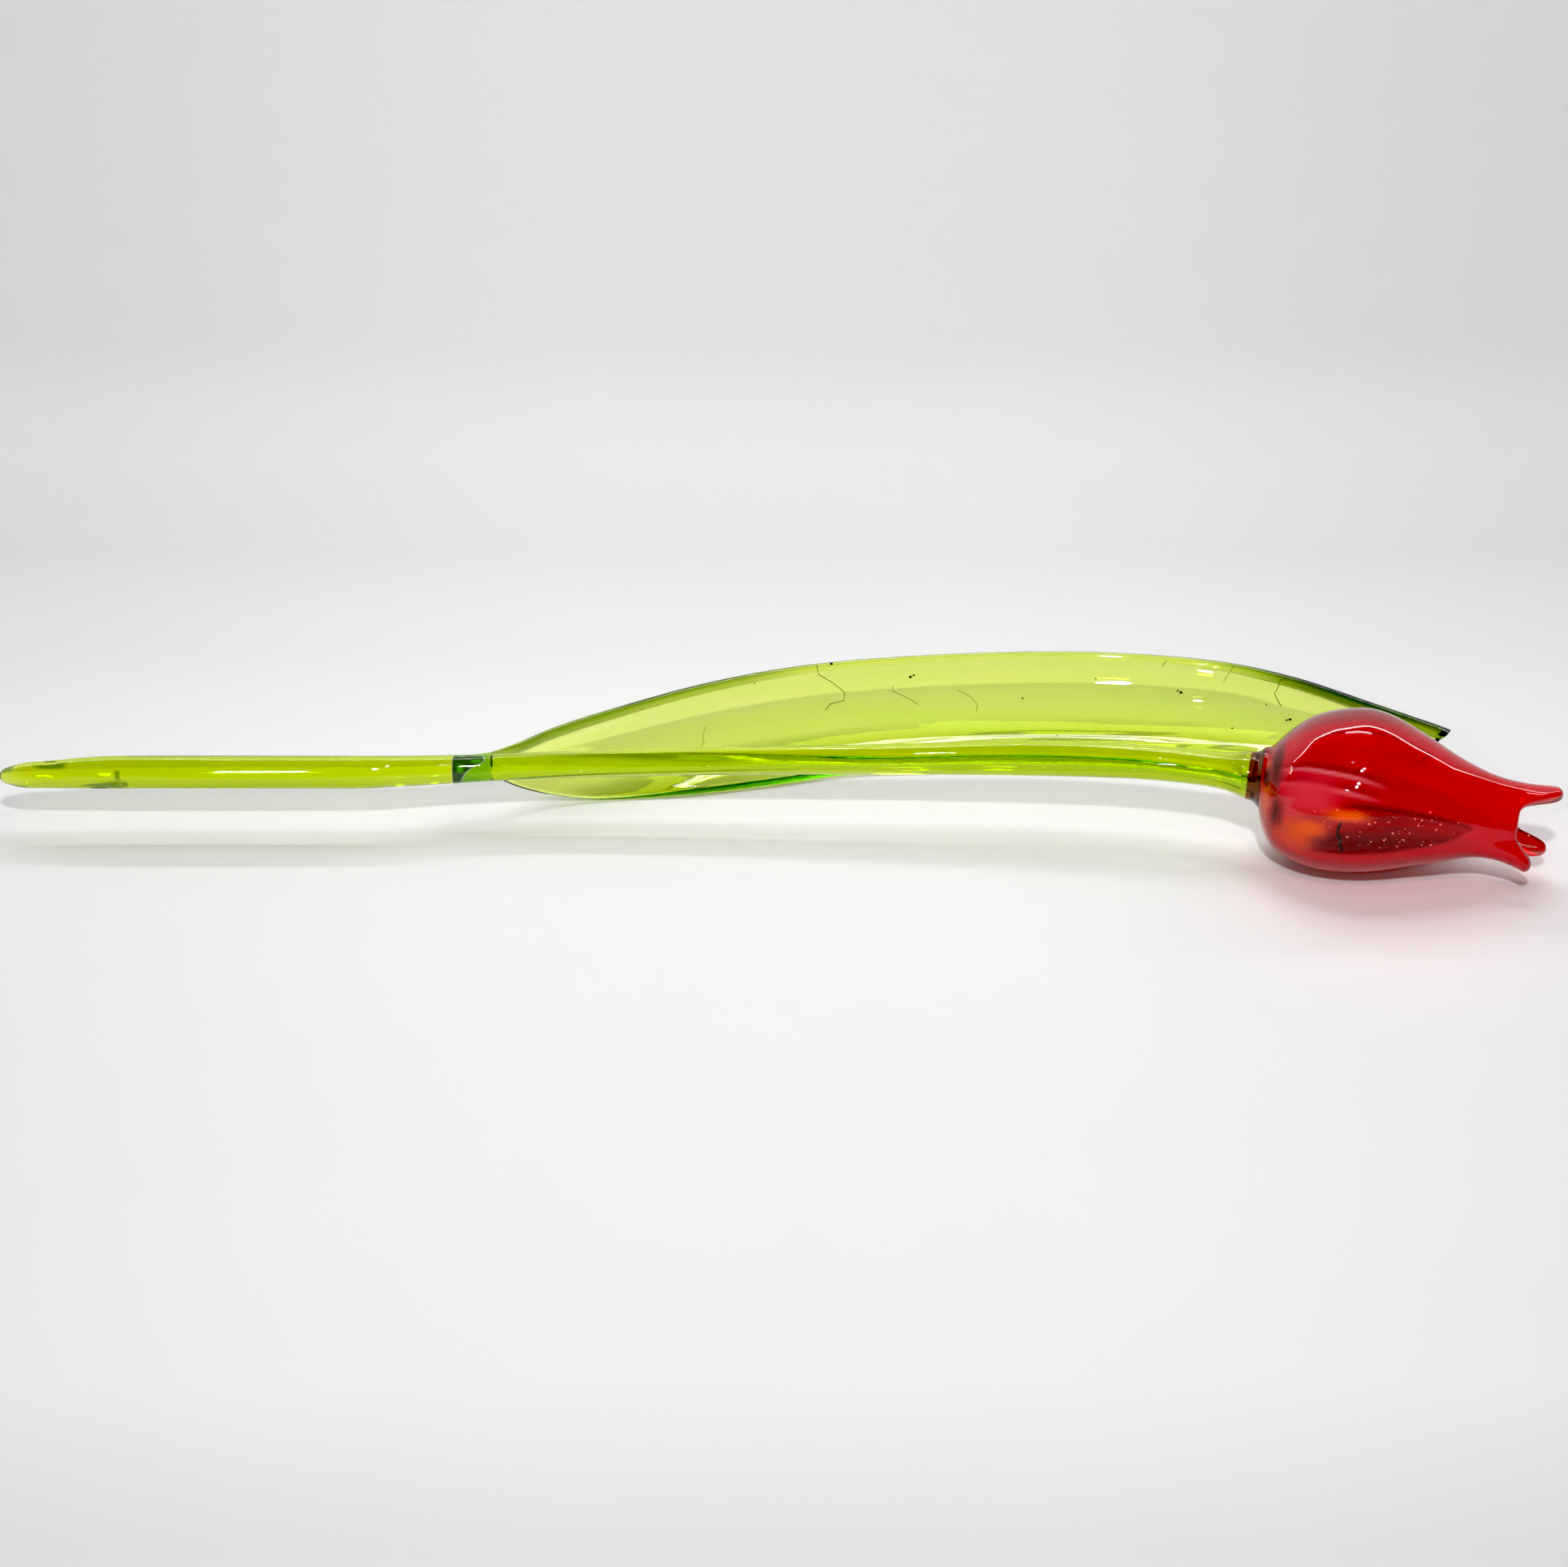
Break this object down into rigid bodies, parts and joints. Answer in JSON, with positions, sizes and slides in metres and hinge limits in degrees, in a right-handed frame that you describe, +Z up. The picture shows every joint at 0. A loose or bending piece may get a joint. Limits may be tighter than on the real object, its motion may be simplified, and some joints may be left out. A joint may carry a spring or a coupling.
{
  "type": "glass tulip ornament",
  "caption": "Hand-made glass tulip lying on a table: hollow red bloom with pulled lips, fused to a drawn green stem that carries a long curved green leaf.",
  "frame": {"origin": "on the table, below the middle of the overall box", "axes": "+X from the stem's free end to the bloom, +Y to the back where the leaf bows out, +Z up from the table"},
  "size_m": [0.503, 0.126, 0.0535],
  "materials": {
    "ruby_glass": "blown and fire-polished, transparent red",
    "overlay_glass": "fire-polished, red over green",
    "stem_glass": "drawn and fire-polished, transparent yellow-green",
    "leaf_glass": "pressed and fire-polished, transparent yellow-green"
  },
  "bodies": {
    "root": {"bloom_cup": "ruby_glass", "joining_collar": "overlay_glass", "stem_rod": "stem_glass", "leaf_root_pad": "leaf_glass", "leaf_blade": "leaf_glass"}
  },
  "joints": []
}
